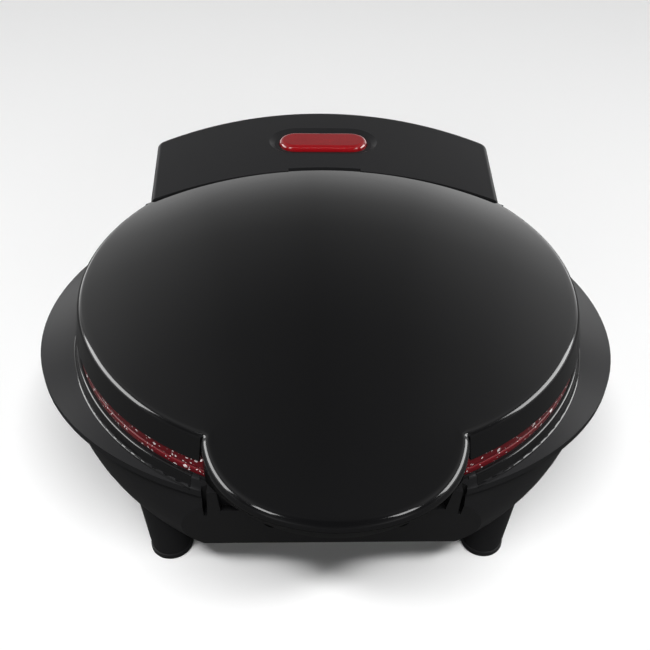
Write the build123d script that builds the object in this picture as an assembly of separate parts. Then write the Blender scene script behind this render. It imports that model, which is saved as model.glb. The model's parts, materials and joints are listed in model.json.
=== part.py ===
from build123d import *
from math import cos, radians, sin, sqrt
import os

# Electric omelette maker: two half-moon cooking plates, a standing base and a lid on rear hinges.
# Sizes are in mm. Everything is built round the plates' axis (x = 0, y = 0, table at z = 0),
# and each piece is moved by frame_shift when it is written, so that the object's box is centred.

# ---- levels and common fits ----
joint_z = 82.0            # plane where the two plates meet
fit_gap = 0.15            # half of the gap between the closed plates, and around seated covers
slack = 0.3               # clearance round loose seats
wall = 2.4                # moulded walls
overcut = 1.0             # how far a cut starts outside the piece that it cuts
far = 400.0               # larger than the object, for cutting blocks

# ---- cooking plates ----
plate_r = 96.8            # both plates
lower_rim_h = 3.0         # rim thickness of the lower plate
upper_rim_h = 4.3         # rim thickness of the upper plate
plate_edge_round = 0.9    # rounding of the rims' outer edges
plate_rim_w = 10.8        # width of a plate's rim outside its pockets
pocket_slope = 7.0        # how far the pocket's wall leans in over its depth
lower_pocket_d = 14.0     # depth of the lower pockets
upper_pocket_d = 7.5      # depth of the upper pockets
divider_half = 5.0        # half of the wall between the two pockets, at the plate's face
pocket_corner = 13.0      # plan radius of the pockets' corners
pocket_floor_round = 3.0  # rounding between a pocket's wall and its floor
plate_wall = 2.8          # cast thickness of the pockets
plate_hole_rest = 0.8     # metal left above a blind hole in a plate's rim

# ---- handle ----
handle_stand = 22.2       # how far the handle stands out past the plates
handle_half = 41.8        # half width of the handle at its root
handle_root_in = 12.8     # where the handle's sides start, inside the plates' edge
handle_straight = 3.5     # straight part of the handle's sides
handle_drop = 1.3         # fall from the lid's rim to the handle's front edge
handle_flow_in = 9.0      # where the dome starts to level out into the handle, inside the lid's rim
handle_lip = 3.4          # edge height of the cover along the handle
handle_edge_round = 2.0
handle_front_x = 19.5     # ends of the outline's front arc
handle_front_back = 3.8   # how far those ends lie behind the handle's front
grip_drop = 3.8           # underside of the handle, below the plates' joint
grip_inset = 8.2          # how far the underside's front lies behind the handle's front
grip_front_x = 17.2
grip_front_back = 3.4
grip_screw_x = 19.0       # handle screws
grip_screw_back = 16.5    # how far those screws lie behind the handle's front
grip_screw_grip = 4.0     # how deep those screws go into the cover
grip_bore_d = 3.4         # counterbore for the handle screws

# ---- base housing ----
bowl_y = 11.0             # the bowl is turned about its own axis, a little behind the plates' axis
shoulder_w = 11.2         # how much wider than the plates the bowl is, under the brim
bowl_taper = 11.5         # how much narrower the bowl is at its foot
bowl_bulge = 3.45         # bulge of the bowl's wall between foot and top
bowl_foot_z = 27.0        # bottom edge of the bowl
bowl_top_z = 66.0
bowl_foot_round = 1.0
ring_margin = 1.2         # the raised ring round the lower plate is this much wider, at its top
ring_lean = 0.8           # how much wider it is at its foot
ring_foot_z = 74.8        # the ring's foot, where the brim starts
ring_top_round = 1.0
ring_foot_round = 1.6
ring_wall = 2.5
brim_drop = 0.45          # fall of the brim per mm of radius
brim_side = 8.0           # how far the brim stands out past the bowl, at the sides
brim_t = 2.8
ledge_w = 7.0             # width of the ledge that the lower plate rests on
ledge_t = 2.5
panel_in = 23.3           # the front panel's bottom edge lies this far inside the plates' edge
panel_side = 0.3          # half width of the front panel, inside the handle's
panel_lean = 0.378        # how far the panel leans out per mm of height
panel_t = 4.6             # the panel is thicker than the walls, for the finger recess
rear_flat_in = 11.0       # the flat rear wall lies this far inside the bowl's back
slot_low_z = 56.5         # tapered slots beside the panel
slot_low_side = 1.8       # a slot's outer edge at the bottom and at the top, outside the handle's half width
slot_top_side = 0.8
slot_low_w = 1.1
slot_top_w = 2.3
slot_d = 3.4              # depth behind the panel's face
notch_side = 1.4          # the ring is lowered this far past the handle, to each side
recess_side = 4.2         # finger recess in the panel, this much narrower than the handle
recess_low_z = 61.5
recess_d = 2.3

# ---- legs ----
leg_inset = 6.8           # legs stand on a circle this far inside the bowl's foot
leg_angle = 45.2          # of the legs, from the X axis
leg_foot_r = 8.0
leg_top_r = 10.6
leg_root = 9.0            # how far a leg reaches into the bowl
pad_t = 3.0               # rubber pads under the legs
pad_lip = 0.35            # how far a pad stands out round its leg
pad_stem_r = 2.0
pad_stem_h = 5.0
pad_round = 0.8

# ---- bottom cover ----
cover_t = 2.0
cover_inset = 0.6         # the cover lies this far above the bowl's bottom edge
boss_r = 4.0
boss_h = 14.0
boss_rib = 2.0
boss_hole_d = 10.0
boss_inset = 9.5          # cover screws, on a circle this far inside the bowl's foot
boss_angle = 20.0         # of those screws, from the X axis
vent_count = 7
vent_w = 3.0
vent_l = 34.0
vent_pitch = 8.0
vent_row_y = 28.0         # the two rows of vents lie this far from the bowl's axis

# ---- lid ----
lid_overhang = 0.5        # how far the lid's side wall stands out past the plates
lid_lean = 2.3            # how far that wall leans in up to the rim
lid_rim_h = 14.0          # the rim's height above the plates' joint
dome_rise = 11.5
lid_edge_round = 2.0
frame_t = 2.2             # inner frame over the upper plate's rim
frame_clear = 1.6         # between the frame's ring and the pockets
frame_gap = 0.9           # between the frame's ring and the lid's side wall
tab_side = 5.5            # the frame's tab in the handle reaches this far past the handle screws
tab_front = 5.5

# ---- rear block ----
block_stand = 42.7        # how far the block stands out past the plates
block_half = 80.4         # half width at the rear corners
block_taper = 4.4         # how much narrower it is at the front
block_root = 1.6          # how far its front ends lie inside the lid's wall
block_back_r = 128.0      # plan radius of the back
block_corner = 6.0
block_rise = 4.0          # highest line of the block's top, above the lid's rim
block_crown = 3.3         # how far the top falls to the sides
block_drop = 1.8          # underside of the block, below the plates' joint
block_edge_round = 2.2
seam_r = 138.8            # plan arc where the glossy cover ends and the block starts
seam_in = 17.0            # that arc's rearmost point, inside the lid's rim
vent_slot_half = 16.5     # shallow slot in the seam
vent_slot_w = 2.2
vent_slot_d = 1.5
tongue_half = 60.0        # strip of the glossy cover under the block's front edge
tongue_t = 1.6
tongue_w = 4.0
tongue_root = 3.0
rear_wall_in = 7.0        # the frame's rear wall ends this far inside the block's front corners
tail_gap = 1.0            # between that wall's ends and the glossy cover
tail_clear = 0.9          # between the cover's rear edge and the block above it

# ---- indicator ----
lens_back = 32.0          # how far the indicator lies in front of the block's back
lens_half = 21.4
lens_w = 16.4
lens_stand = 0.6          # how far the lens stands above the block's top
lens_t = 1.8
lens_top_t = 2.2
lens_round = 2.4
lens_flange = 1.6
lens_flange_t = 1.2
dish_margin_x = 5.2       # the shallow dish is this much larger than the lens
dish_margin_y = 5.3
dish_d = 1.9
dish_slope = 3.2          # how far the dish's side leans in over its depth
dish_t = 2.2              # wall under the dish
lamp_r = 3.0
lamp_l = 19.0
lamp_h = 7.2              # the lamp's axis, above the frame's floor
lamp_gap = 0.02           # radial clearance of the lamp in its holder
cradle_in = 3.0           # the holder's cradles, from the lamp's ends
cradle_t = 2.0
cradle_half = 4.4
cradle_mouth = 2.2
cradle_over = 1.2         # how far a cradle reaches over the lamp's axis
holder_half = 6.0
holder_t = 1.2

# ---- hinge ----
hinge_back = 8.0          # hinge axis, behind the flat rear wall
hinge_drop = 10.0         # hinge axis, below the plates' joint
ear_x = 46.6              # inner face of the base's ears
ear_w = 8.0
ear_r = 6.3
ear_root = 5.5            # how far an ear reaches in from the rear wall
ear_gusset = 8.0
arm_w = 5.4
arm_gap = 0.4             # between the lid's arms and the base's ears
arm_gusset = 7.0
pin_r = 2.5
pin_tip = 1.0             # how far a pin stands out past its washer
pin_chamfer = 0.5
pin_head_r = 4.2
pin_head_h = 1.6
pin_clip_t = 0.8
bush_wall = 1.4
bush_flange_r = 4.8
bush_flange_t = 0.9
running_gap = 0.05        # radial clearance between pin and bush

# ---- heating elements ----
tube_r = 3.3
upper_tube_r = 2.5
element_side = 30.0       # how far inside the pockets' edge the tube runs, at the sides
element_front = 42.0      # and at the front
element_rear = 44.0       # and at the rear
element_lead_in = 20.0    # and where its leads end
element_lead_x = 14.0
element_bend = 13.0
cold_pin_r = 1.5
cold_pin_l = 7.5
contact_gap = 0.1         # the tube lies this close to the plate
clip_w = 9.0
clip_t = 1.0
clip_foot = 11.4          # half length of a clip
clip_screw_x = 8.0
clip_hole_d = 1.8
shield_t = 0.6
shield_gap = 0.35         # between a shield and the nearest piece
lower_shield_in = 12.0    # the lower shield is a dish, this much smaller than the pockets
lower_shield_flare = 6.0
lower_shield_rim_h = 7.0
shield_window_half = 19.6 # window in the lower shield, for the leads
shield_window_front = 8.0
shield_window_rear = 5.0
upper_shield_in = 28.0
stat_hole_gap = 1.5       # round the thermostat, in the upper shield
post_r = 3.4              # posts cast on the plates, which carry the shields
post_in = 16.0            # how far inside the tube's loop the posts stand
post_hole_d = 3.0

# ---- electrics in the base ----
stat_r = 8.0
stat_h = 7.5
stat_x = 30.0
stat_ear = 11.5
stat_tag_h = 1.6
stat_tag_w = 3.2
stat_tag_t = 0.8
fuse_r = 2.3
fuse_l = 14.0
fuse_lead_r = 0.6
fuse_lead_l = 6.0
terminal_l = 34.0
terminal_w = 17.0
terminal_h = 15.0
terminal_corner = 1.5
terminal_back = 34.0      # how far the terminal block lies in front of the rear wall
wire_hole_r = 2.0
terminal_screw_r = 2.2
driver_slot_w = 0.8
driver_slot_d = 0.8
gland_z = 44.0
gland_bore_r = 3.7
gland_body_r = 6.0
gland_flange_r = 8.2
gland_flange_t = 2.6
gland_in = 7.0
gland_snap = 1.0
gland_snap_t = 1.6

# ---- screws ----
screw_r = 1.5
screw_head_r = 2.9
screw_head_h = 1.9
small_screw_r = 1.25
small_head_r = 2.4
small_head_h = 1.3
recess_w = 0.7            # cross recess in a screw's head
ledge_screw_in = 4.4      # lower plate's screws, inside the plates' edge
frame_screw_in = 6.2      # upper plate's screws and the cover's pegs, inside the plates' edge
screw_angle = 52.0        # of the plates' screws, from the X axis
peg_angle = 18.0          # of the pegs, from the X axis
peg_r = 1.6
peg_h = 3.5
peg_boss_r = 3.2
grip_boss_r = 4.2
block_boss_r = 3.5
block_side_screw = 16.4   # a side screw of the block, inside its side
block_side_back = 51.5    # and in front of its back
block_rear_screw_x = 34.0 # a rear screw of the block
block_rear_back = 12.5

# ---- worked out from the above ----
handle_reach = plate_r + handle_stand
block_reach = plate_r + block_stand
frame_shift = (handle_reach - block_reach) / 2
pocket_r = plate_r - plate_rim_w
lower_top = joint_z - fit_gap
lower_seat = lower_top - lower_rim_h
upper_low = joint_z + fit_gap
upper_seat = upper_low + upper_rim_h
skirt_z = upper_seat + fit_gap
frame_top = upper_seat + frame_t
lower_under = lower_top - lower_pocket_d - plate_wall
upper_over = upper_low + upper_pocket_d + plate_wall
bowl_top_r = plate_r + shoulder_w
bowl_foot_r = bowl_top_r - bowl_taper
brim_half_width = bowl_top_r + brim_side
ring_r = plate_r + ring_margin
ring_foot_r = ring_r + ring_lean
ledge_r = plate_r - ledge_w
panel_half = handle_half - panel_side
panel_foot_y = plate_r - panel_in
rear_flat_y = bowl_y + bowl_top_r - rear_flat_in
cover_z = bowl_foot_z + cover_inset
boss_ring_r = bowl_foot_r - boss_inset
lid_skirt_r = plate_r + lid_overhang
lid_rim_r = lid_skirt_r - lid_lean
lid_rim_z = joint_z + lid_rim_h
dome_r = (lid_rim_r ** 2 + dome_rise ** 2) / (2 * dome_rise)
frame_in_r = pocket_r + frame_clear
frame_out_r = lid_skirt_r - wall - frame_gap
handle_root_y = plate_r - handle_root_in
handle_side_y = handle_root_y + handle_straight
handle_edge_z = lid_rim_z - handle_drop
handle_flow_r = lid_rim_r - handle_flow_in
handle_seam_z = handle_edge_z - handle_lip
grip_low_z = joint_z - grip_drop
grip_screw_y = handle_reach - grip_screw_back
tab_half = grip_screw_x + tab_side
tab_reach = grip_screw_y + tab_front
block_front_half = block_half - block_taper
block_front_y = sqrt((lid_rim_r - wall - block_root) ** 2 - block_front_half ** 2)
block_top_z = lid_rim_z + block_rise
block_low_z = joint_z - block_drop
frame_rear_half = block_front_half - rear_wall_in
seam_y = lid_rim_r - seam_in
tail_z = block_top_z - block_crown - wall - 2 * fit_gap
lens_y = block_reach - lens_back
lens_seat_z = block_top_z - wall - dish_t
dish_half = lens_half + dish_margin_x
dish_w = lens_w + 2 * dish_margin_y
lamp_z = block_low_z + frame_t + lamp_h
hinge_y = rear_flat_y + hinge_back
hinge_z = joint_z - hinge_drop
arm_inner_x = ear_x - arm_gap - arm_w
element_half_x = pocket_r - element_side
element_front_y = element_front - pocket_r
element_rear_y = pocket_r - element_rear
element_lead_y = pocket_r - element_lead_in
post_x = element_half_x - post_in
post_y = -element_front_y - post_in
lower_shield_r = pocket_r - lower_shield_in
lower_shield_rim_r = lower_shield_r + lower_shield_flare
lower_shield_z = lower_under - stat_h - stat_tag_h - shield_gap - shield_t
upper_shield_r = pocket_r - upper_shield_in
upper_shield_z = upper_over + 2 * (upper_tube_r + contact_gap) + clip_t + shield_gap
terminal_y = rear_flat_y - terminal_back
ledge_screw_r = plate_r - ledge_screw_in
frame_screw_r = plate_r - frame_screw_in
leg_x = (bowl_foot_r - leg_inset) * cos(radians(leg_angle))
leg_reach = (bowl_foot_r - leg_inset) * sin(radians(leg_angle))
legs = {
    "front_left": (-leg_x, bowl_y - leg_reach),
    "front_right": (leg_x, bowl_y - leg_reach),
    "rear_left": (-leg_x, bowl_y + leg_reach),
    "rear_right": (leg_x, bowl_y + leg_reach),
}


def turned(points, axis_y=0.0):
    """Solid turned about a vertical axis from (radius, height) points."""
    face = Plane.XZ * make_face(Polyline(*points, close=True))
    return Pos(0, axis_y, 0) * revolve(face, Axis.Z)


def slab(x0, x1, y0, y1, z0, z1):
    """Box between two corners."""
    return Pos((x0 + x1) / 2, (y0 + y1) / 2, (z0 + z1) / 2) * Box(x1 - x0, y1 - y0, z1 - z0)


def rod(radius, x, y, z0, z1):
    """Upright cylinder from z0 to z1."""
    return Pos(x, y, (z0 + z1) / 2) * Cylinder(radius, z1 - z0)


def rod_x(radius, x0, x1, y, z):
    """Cylinder along X."""
    return Pos((x0 + x1) / 2, y, z) * Rot(0, 90, 0) * Cylinder(radius, x1 - x0)


def rod_y(radius, x, y0, y1, z):
    """Cylinder along Y."""
    return Pos(x, (y0 + y1) / 2, z) * Rot(90, 0, 0) * Cylinder(radius, y1 - y0)


def around(radius, angles, centre_y=0.0):
    """Points on a circle, at angles from the X axis."""
    return [(radius * cos(radians(a)), centre_y + radius * sin(radians(a))) for a in angles]


def screw(radius, length, head_radius, head_height):
    """Pan-head screw with a cross recess: the head stands on z = 0 and the shank points down."""
    head = rod(head_radius, 0, 0, 0, head_height)
    head = fillet(head.edges().sort_by(Axis.Z)[-1], head_height * 0.45)
    body = head + rod(radius, 0, 0, -length, 0)
    for turn in (0, 90):
        body -= Rot(0, 0, turn) * Pos(0, 0, head_height) * Box(head_radius * 1.1, recess_w, head_height)
    return body


def four(angle):
    """The angle mirrored into all four quarters."""
    return (angle, 180 - angle, 180 + angle, 360 - angle)


# ---------------------------------------------------------------- shared shapes
def dome_z(radius, drop=0.0):
    """Height of the dome at a radius; drop gives a parallel surface below it."""
    centre = lid_rim_z + dome_rise - dome_r
    return centre + sqrt((dome_r - drop) ** 2 - radius ** 2)


def brim_z(radius):
    """Height of the brim's top surface."""
    return ring_foot_z - brim_drop * (radius - ring_foot_r)


def panel_y(height, inset=0.0):
    """Y of the leaning front panel at a height."""
    return inset - panel_foot_y - panel_lean * (height - bowl_foot_z)


def behind_panel(inset):
    """Everything behind a plane parallel to the front panel."""
    low, high = (panel_y(0, inset), 0), (panel_y(lid_rim_z, inset), lid_rim_z)
    face = Polyline(low, high, (far, lid_rim_z), (far, 0), close=True)
    return extrude(Plane.YZ * make_face(face), far / 2, both=True)


def bowl(inset):
    """Solid bowl form; inset gives the inside of its wall."""
    foot = (bowl_foot_r - inset, bowl_foot_z)
    shoulder = (bowl_top_r - inset, bowl_top_z)
    belly = SagittaArc(foot, shoulder, -bowl_bulge)
    rest = Polyline(shoulder, (shoulder[0], lower_top), (0, lower_top), (0, 0), (foot[0], 0), foot)
    face = Plane.XZ * make_face([belly, rest])
    return Pos(0, bowl_y, 0) * revolve(face, Axis.Z)


def half_moon(radius, divider, corner):
    """D-shaped outline to the right of the divider."""
    disc = Circle(radius) & Pos(divider + far / 2, 0) * Rectangle(far, far)
    return fillet(disc.vertices(), corner)


def pockets(face_z, floor_z, grow, floor_round):
    """Both pockets as solids from the plate's face to their floor; grow gives the outside of their walls."""
    lean = pocket_slope
    rim = Pos(0, 0, face_z) * half_moon(pocket_r + grow, divider_half - grow, pocket_corner + grow)
    floor = Pos(0, 0, floor_z) * half_moon(pocket_r + grow - lean, divider_half - grow + lean, pocket_corner)
    right = loft([rim, floor], ruled=True)
    flat = right.faces().filter_by(Axis.Z).sort_by(Axis.Z)[-1 if floor_z > face_z else 0]
    right = fillet(flat.edges(), floor_round)
    return right + mirror(right, Plane.YZ)


def element_path(height):
    """Centre line of a heating element."""
    return FilletPolyline(
        (-element_lead_x, element_lead_y, height), (-element_lead_x, element_rear_y, height),
        (-element_half_x, element_rear_y, height), (-element_half_x, element_front_y, height),
        (element_half_x, element_front_y, height), (element_half_x, element_rear_y, height),
        (element_lead_x, element_rear_y, height), (element_lead_x, element_lead_y, height),
        radius=element_bend,
    )


def element(radius, height):
    """Tubular element with a cold pin on each end."""
    path = element_path(height)
    tube = sweep(Plane(origin=path @ 0, z_dir=path % 0) * Circle(radius), path=path)
    for side in (-1, 1):
        x = side * element_lead_x
        tube += rod_y(cold_pin_r, x, element_lead_y - overcut, element_lead_y + cold_pin_l, height)
    return tube


def clip(radius, plate_z, side):
    """Strap round a tube that runs along Y at x = 0; side is +1 above the plate and -1 below it."""
    centre = plate_z + side * (radius + contact_gap)
    inner, outer = radius + contact_gap, radius + contact_gap + clip_t
    low, high = sorted((centre, plate_z))
    strap = rod_y(outer, 0, -clip_w / 2, clip_w / 2, centre)
    strap += slab(-outer, outer, -clip_w / 2, clip_w / 2, low, high)
    low, high = sorted((plate_z, plate_z + side * clip_t))
    strap += slab(-clip_foot, clip_foot, -clip_w / 2, clip_w / 2, low, high)
    strap -= rod_y(inner, 0, -clip_w, clip_w, centre)
    low, high = sorted((centre, plate_z))
    strap -= slab(-inner, inner, -clip_w, clip_w, low, high)
    low, high = sorted((plate_z, plate_z + -side * far))
    strap -= slab(-outer, outer, -clip_w, clip_w, low, high)
    for x in (-clip_screw_x, clip_screw_x):
        strap -= rod(small_screw_r, x, 0, 0, far)
    return strap


def clip_places():
    """Position and turn of the four clips along the element."""
    side_y = (element_front_y + element_rear_y) / 2
    front_x = element_half_x / 2
    return [
        Pos(-element_half_x, side_y, 0), Pos(element_half_x, side_y, 0),
        Pos(-front_x, element_front_y, 0) * Rot(0, 0, 90), Pos(front_x, element_front_y, 0) * Rot(0, 0, 90),
    ]


def clip_screw_spots():
    """Plan points of the clips' screws."""
    spots = []
    for place in clip_places():
        for x in (-clip_screw_x, clip_screw_x):
            point = (place * Pos(x, 0, 0)).position
            spots.append((point.X, point.Y))
    return spots


# ---------------------------------------------------------------- cooking plates
def post_spots():
    return [(sx * post_x, sy * post_y) for sx in (-1, 1) for sy in (-1, 1)]


def lower_cooking_plate():
    rim = fillet(rod(plate_r, 0, 0, lower_seat, lower_top).edges(), plate_edge_round)
    plate = rim + pockets(lower_top, lower_under, plate_wall, pocket_floor_round + plate_wall)
    post_low = lower_shield_z + shield_t
    for x, y in post_spots():
        plate += rod(post_r, x, y, post_low, lower_under + plate_wall / 2)
        plate -= rod(small_screw_r, x, y, post_low - overcut, post_low + post_hole_d)
    plate -= pockets(lower_top, lower_top - lower_pocket_d, 0, pocket_floor_round)
    for x, y in around(ledge_screw_r, four(screw_angle)):
        plate -= rod(screw_r, x, y, lower_seat - overcut, lower_top - plate_hole_rest)
    for x, y in clip_screw_spots():
        plate -= rod(small_screw_r, x, y, lower_under - overcut, lower_under + clip_hole_d)
    return plate


def upper_cooking_plate():
    rim = fillet(rod(plate_r, 0, 0, upper_low, upper_seat).edges(), plate_edge_round)
    plate = rim + pockets(upper_low, upper_over, plate_wall, pocket_floor_round)
    for x, y in post_spots():
        plate += rod(post_r, x, y, upper_over - plate_wall / 2, upper_shield_z)
        plate -= rod(small_screw_r, x, y, upper_shield_z - post_hole_d, upper_shield_z + overcut)
    plate -= pockets(upper_low, upper_low + upper_pocket_d, 0, pocket_floor_round)
    for x, y in around(frame_screw_r, four(screw_angle)):
        plate -= rod(screw_r, x, y, upper_low + plate_hole_rest, upper_seat + overcut)
    for x, y in clip_screw_spots():
        plate -= rod(small_screw_r, x, y, upper_over - clip_hole_d, upper_over + overcut)
    return plate


# ---------------------------------------------------------------- base
def envelope():
    """Everything below the base's top surface: ledge, ring and falling brim."""
    edge = brim_half_width + 2 * brim_t
    face = make_face(Polyline(
        (0, 0), (0, lower_seat), (ring_r, lower_seat), (ring_foot_r, ring_foot_z),
        (edge, brim_z(edge)), (edge, 0), close=True,
    ))
    face = fillet(face.vertices().sort_by_distance((ring_foot_r, ring_foot_z))[0], ring_foot_round)
    face = fillet(face.vertices().sort_by_distance((ring_r, lower_seat))[0], ring_top_round)
    return revolve(Plane.XZ * face, Axis.Z)


def brim_blank():
    """Brim with an elliptical outline, before its top is cut to the envelope."""
    edge = brim_half_width + 2 * brim_t
    under = turned([(0, 0), (0, brim_z(0) - brim_t), (edge, brim_z(edge) - brim_t), (edge, 0)])
    return extrude(Pos(0, bowl_y) * Ellipse(brim_half_width, bowl_top_r), lower_top) - under


def cavity():
    """Inside of the base housing."""
    under = lower_seat - ledge_t
    ring_in = ring_r - ring_wall
    edge = bowl_y + bowl_top_r
    limit = turned([
        (0, 0), (0, far), (ledge_r, far), (ledge_r, under), (ring_in, under),
        (ring_in, brim_z(ring_in) - brim_t), (edge, brim_z(edge) - brim_t), (edge, 0),
    ])
    hollow = bowl(wall) & limit & behind_panel(panel_t)
    return hollow & slab(-far, far, -far, rear_flat_y - wall, 0, far)


def slot(side):
    """Tapered slot beside the front panel."""
    low_x, top_x = handle_half + slot_low_side, handle_half + slot_top_side
    outline = Polyline(
        (side * low_x, slot_low_z), (side * (low_x - slot_low_w), slot_low_z),
        (side * (top_x - slot_top_w), lower_top), (side * top_x, lower_top), close=True,
    )
    cut = extrude(Plane.XZ * make_face(outline), far)
    return cut - behind_panel(slot_d)


def leg(x, y):
    """Tapered leg with a hole for its pad's stem."""
    height = bowl_foot_z + leg_root - pad_t
    body = Pos(x, y, pad_t + height / 2) * Cone(leg_foot_r, leg_top_r, height)
    return body - rod(pad_stem_r, x, y, 0, pad_t + pad_stem_h)


def cover_boss(angle):
    """Screw boss for the bottom cover, with a rib to the wall."""
    seat = cover_z + cover_t
    boss = rod(boss_r, boss_ring_r, 0, seat, seat + boss_h)
    boss += slab(boss_ring_r, boss_ring_r + far, -boss_rib / 2, boss_rib / 2, seat, seat + boss_h)
    boss = (Pos(0, bowl_y, 0) * Rot(0, 0, angle) * boss) & bowl(wall / 2)
    x, y = around(boss_ring_r, (angle,), bowl_y)[0]
    return boss - rod(screw_r, x, y, seat - overcut, seat + boss_hole_d)


def hinge_ear(side):
    """Ear on the rear wall that holds a hinge pin."""
    root_y = rear_flat_y - ear_root
    low_z = hinge_z - ear_r
    face = make_face(Polyline(
        (root_y, hinge_z + ear_r), (hinge_y, hinge_z + ear_r), (hinge_y, low_z),
        (rear_flat_y, low_z - ear_gusset), (root_y, low_z - ear_gusset), close=True,
    ))
    ear = Pos(ear_x, 0, 0) * extrude(Plane.YZ * face, ear_w)
    ear += rod_x(ear_r, ear_x, ear_x + ear_w, hinge_y, hinge_z)
    ear -= rod_x(pin_r, ear_x - overcut, ear_x + ear_w + overcut, hinge_y, hinge_z)
    return ear if side > 0 else mirror(ear, Plane.YZ)


def base_housing():
    body = bowl(0) & slab(-far, far, -far, far, bowl_foot_z, far)
    body = fillet(body.edges().filter_by(GeomType.CIRCLE).sort_by(Axis.Z)[0], bowl_foot_round)
    body += brim_blank()
    body += rod(ring_foot_r, 0, 0, brim_z(ring_foot_r) - brim_t, lower_top)
    body &= envelope()
    low_z = grip_low_z - slack
    body += slab(-panel_half, panel_half, -handle_reach, -ledge_r + wall, bowl_top_z - wall, low_z)
    body &= behind_panel(0)
    body &= slab(-far, far, -far, rear_flat_y, 0, far)
    body -= cavity()
    half = handle_half + notch_side
    body -= slab(-half, half, -far, 0, low_z, far) - rod(plate_r + slack, 0, 0, low_z - overcut, far)
    body -= slot(-1) + slot(1)
    half = handle_half - recess_side
    recess = behind_panel(-overcut) - behind_panel(recess_d)
    body -= recess & slab(-half, half, -far, 0, recess_low_z, far)
    for x, y in around(ledge_screw_r, four(screw_angle)):
        body -= rod(screw_r + fit_gap, x, y, lower_seat - ledge_t - overcut, lower_seat + overcut)
    body -= rod_y(gland_body_r, 0, rear_flat_y - 2 * wall, rear_flat_y + overcut, gland_z)
    for x, y in legs.values():
        body += leg(x, y)
    for angle in four(boss_angle):
        body += cover_boss(angle)
    for side in (-1, 1):
        body += hinge_ear(side)
    return body


def base_bottom_cover():
    top = cover_z + cover_t
    disc = rod(bowl_foot_r - wall - slack, 0, bowl_y, cover_z, top)
    disc &= behind_panel(panel_t + slack)
    disc &= slab(-far, far, -far, rear_flat_y - wall - slack, 0, far)
    for x, y in legs.values():
        disc -= rod(leg_top_r + slack, x, y, cover_z - overcut, top + overcut)
    for x, y in around(boss_ring_r, four(boss_angle), bowl_y):
        disc -= rod(screw_r + fit_gap, x, y, cover_z - overcut, top + overcut)
    vent = extrude(Rot(0, 0, 90) * SlotOverall(vent_l, vent_w), 3 * cover_t, both=True)
    for row_y in (bowl_y - vent_row_y, bowl_y + vent_row_y):
        for i in range(vent_count):
            disc -= Pos((i - (vent_count - 1) / 2) * vent_pitch, row_y, cover_z) * vent
    return disc


def foot_pad(x, y):
    """Rubber pad with a stem pushed into the leg."""
    pad = fillet(rod(leg_foot_r + pad_lip, x, y, 0, pad_t).edges(), pad_round)
    return pad + rod(pad_stem_r, x, y, pad_t - pad_round, pad_t + pad_stem_h - slack)


def bottom_cover_screws():
    one = Rot(180, 0, 0) * screw(screw_r, cover_t + boss_hole_d - slack, screw_head_r, screw_head_h)
    return [Pos(x, y, cover_z) * one for x, y in around(boss_ring_r, four(boss_angle), bowl_y)]


def lower_plate_screws():
    length = ledge_t + lower_rim_h - plate_hole_rest - slack
    one = Rot(180, 0, 0) * screw(screw_r, length, screw_head_r, screw_head_h)
    return [Pos(x, y, lower_seat - ledge_t) * one for x, y in around(ledge_screw_r, four(screw_angle))]


def lower_heating_element():
    return element(tube_r, lower_under - contact_gap - tube_r)


def lower_element_clips():
    return [place * clip(tube_r, lower_under, -1) for place in clip_places()]


def lower_clip_screws():
    one = Rot(180, 0, 0) * screw(small_screw_r, clip_t + clip_hole_d - slack, small_head_r, small_head_h)
    return [Pos(x, y, lower_under - clip_t) * one for x, y in clip_screw_spots()]


def lower_heat_shield():
    """Pressed dish below the element, with a window for the leads."""
    z0, z1 = lower_shield_z, lower_shield_z + lower_shield_rim_h
    dish = turned([
        (0, z0), (lower_shield_r, z0), (lower_shield_rim_r, z1), (lower_shield_rim_r - shield_t, z1),
        (lower_shield_r - shield_t, z0 + shield_t), (0, z0 + shield_t),
    ])
    for x, y in post_spots():
        dish -= rod(small_screw_r + fit_gap, x, y, z0 - overcut, z1)
    front_y, rear_y = element_lead_y - shield_window_front, lower_shield_r - shield_window_rear
    return dish - slab(-shield_window_half, shield_window_half, front_y, rear_y, z0 - overcut, z1)


def lower_shield_screws():
    one = Rot(180, 0, 0) * screw(small_screw_r, shield_t + post_hole_d - slack, small_head_r, small_head_h)
    return [Pos(x, y, lower_shield_z) * one for x, y in post_spots()]


def thermostat(plate_z, side):
    """Snap-disc thermostat on a plate: round body, ears and two blade terminals."""
    body = rod(stat_r, stat_x, 0, 0, stat_h)
    body += slab(stat_x - stat_ear, stat_x + stat_ear, -stat_r / 2, stat_r / 2, 0, clip_t)
    half_w, half_t = stat_tag_w / 2, stat_tag_t / 2
    for y in (-stat_r / 2, stat_r / 2):
        body += slab(stat_x - half_w, stat_x + half_w, y - half_t, y + half_t, stat_h, stat_h + stat_tag_h)
    return Pos(0, 0, plate_z) * (body if side > 0 else mirror(body, Plane.XY))


def thermal_fuse():
    """One-shot fuse along Y with a lead at each end."""
    z = lower_under - contact_gap - fuse_r
    end = fuse_l / 2
    lead = rod_y(fuse_lead_r, -stat_x, -end - fuse_lead_l, end + fuse_lead_l, z)
    return lead + rod_y(fuse_r, -stat_x, -end, end, z)


def fuse_clip():
    return Pos(-stat_x, 0, 0) * clip(fuse_r, lower_under, -1)


def terminal_xs():
    return [i * terminal_l * 0.3 for i in (-1, 0, 1)]


def terminal_block():
    """Three-way block on the bottom cover, with wire holes along Y and screws from above."""
    low = cover_z + cover_t
    wire_z = low + terminal_h * 0.4
    half_l, half_w = terminal_l / 2, terminal_w / 2
    body = slab(-half_l, half_l, terminal_y - half_w, terminal_y + half_w, low, low + terminal_h)
    body = fillet(body.edges().filter_by(Axis.Z), terminal_corner)
    for x in terminal_xs():
        body -= rod_y(wire_hole_r, x, terminal_y - terminal_w, terminal_y + terminal_w, wire_z)
        body -= rod(terminal_screw_r, x, terminal_y, wire_z, low + terminal_h + overcut)
    return body


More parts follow.
